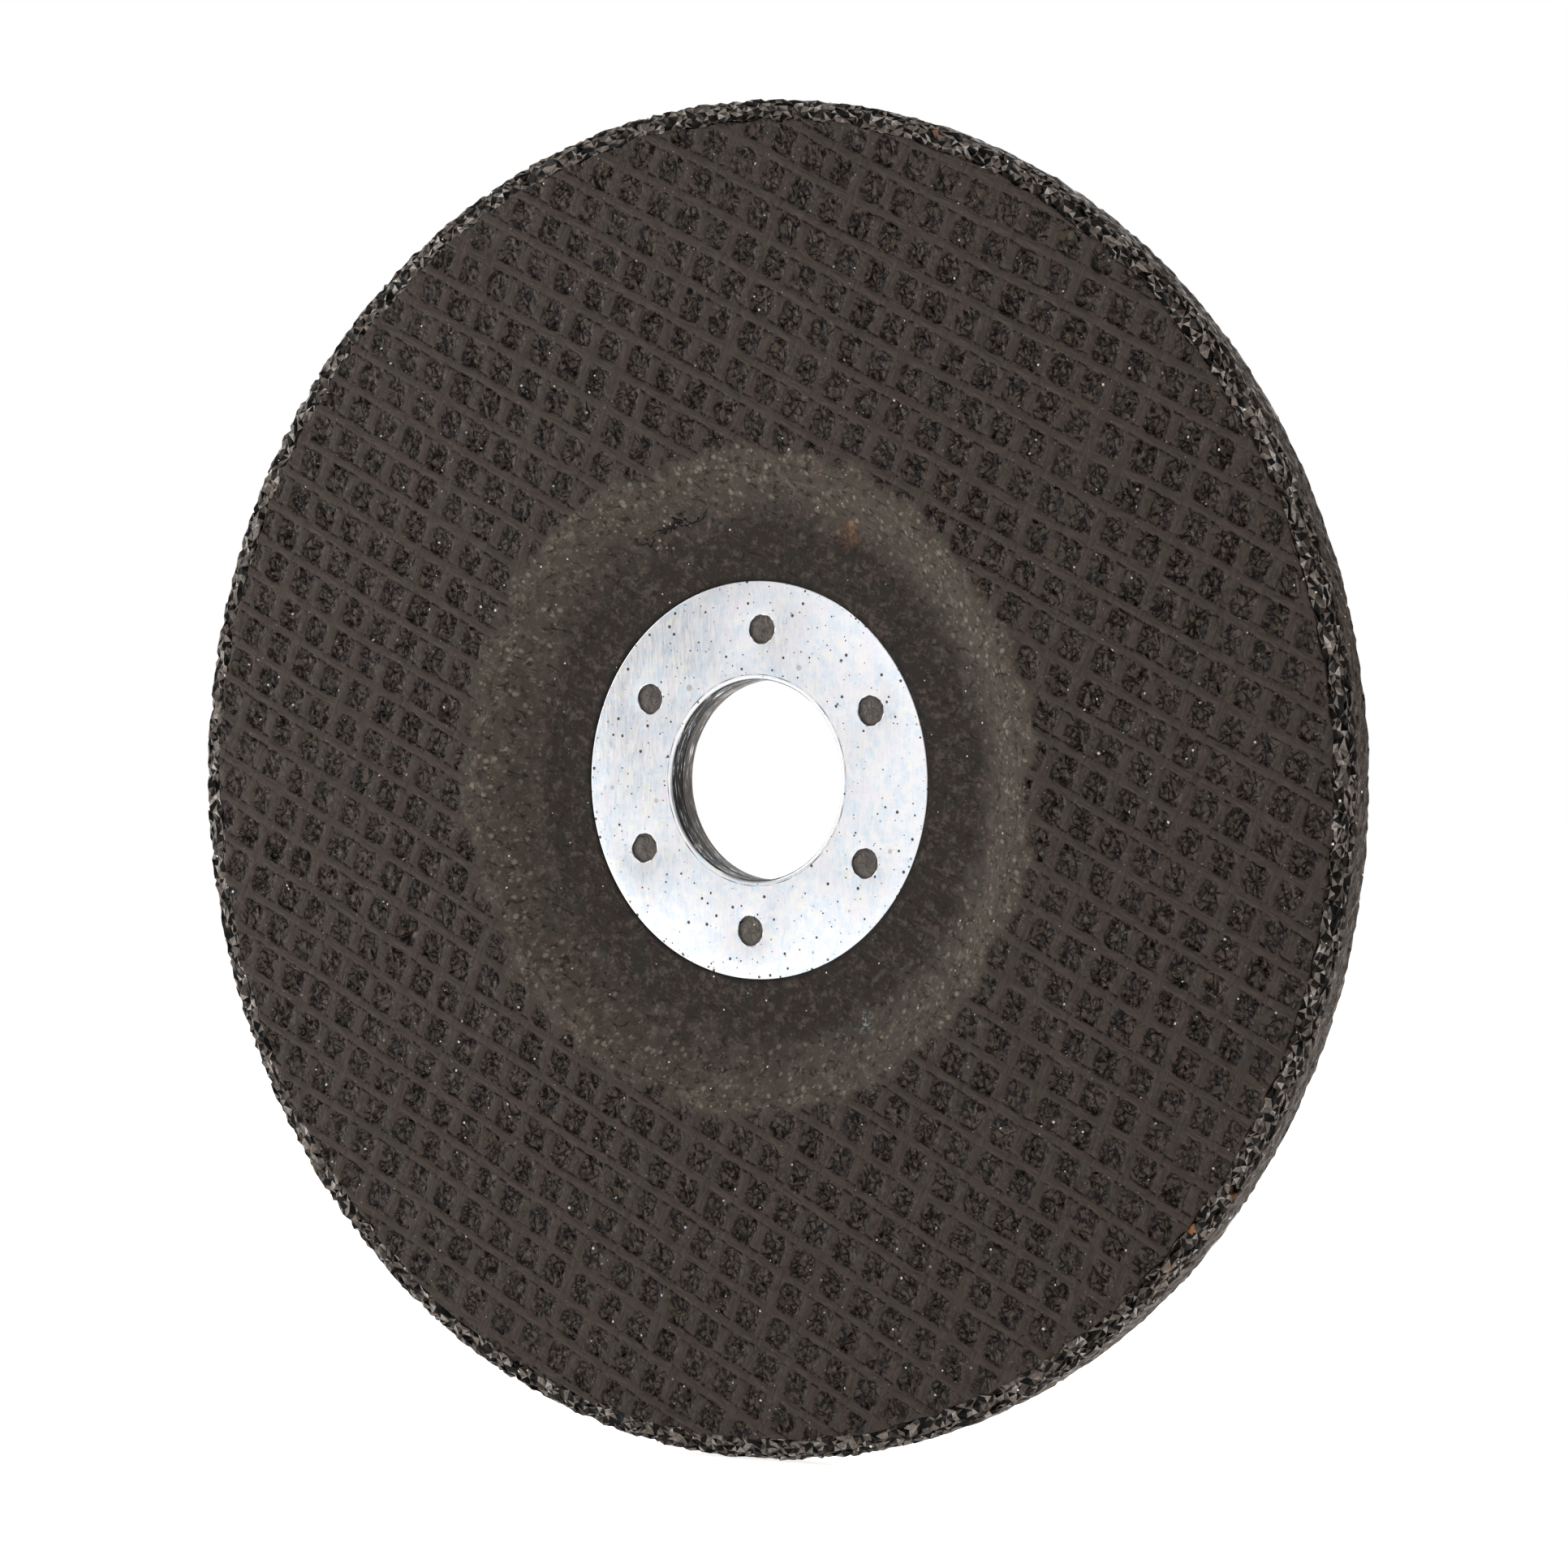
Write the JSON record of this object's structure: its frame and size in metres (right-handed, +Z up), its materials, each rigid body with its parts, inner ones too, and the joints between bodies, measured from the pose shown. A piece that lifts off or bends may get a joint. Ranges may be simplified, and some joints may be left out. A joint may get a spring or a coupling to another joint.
{
  "type": "grinding disc",
  "caption": "Depressed-centre bonded abrasive grinding disc with woven glass mesh face, rough grain rim and steel hub ring round a spindle bore.",
  "frame": {"origin": "on the spindle axis, half-way between the working face and the face of the rear hub ring", "axes": "Y is the spindle axis: the working face with its recess looks along -Y and the side that faces the grinder along +Y. The disc stands upright with +Z up and +X to the right as seen from the front"},
  "size_m": [0.15, 0.0078, 0.15],
  "materials": {
    "zinc_steel": "satin",
    "bonded_grain": "satin",
    "resin_glass_mesh": "matte",
    "label_paper": "matte"
  },
  "bodies": {
    "root": {"front_hub_ring": "zinc_steel", "front_glass_mesh": "resin_glass_mesh", "front_grain_layer": "bonded_grain", "middle_glass_mesh": "resin_glass_mesh", "rear_grain_layer": "bonded_grain", "rear_glass_mesh": "resin_glass_mesh", "rear_label": "label_paper", "rear_hub_ring": "zinc_steel"}
  },
  "joints": []
}
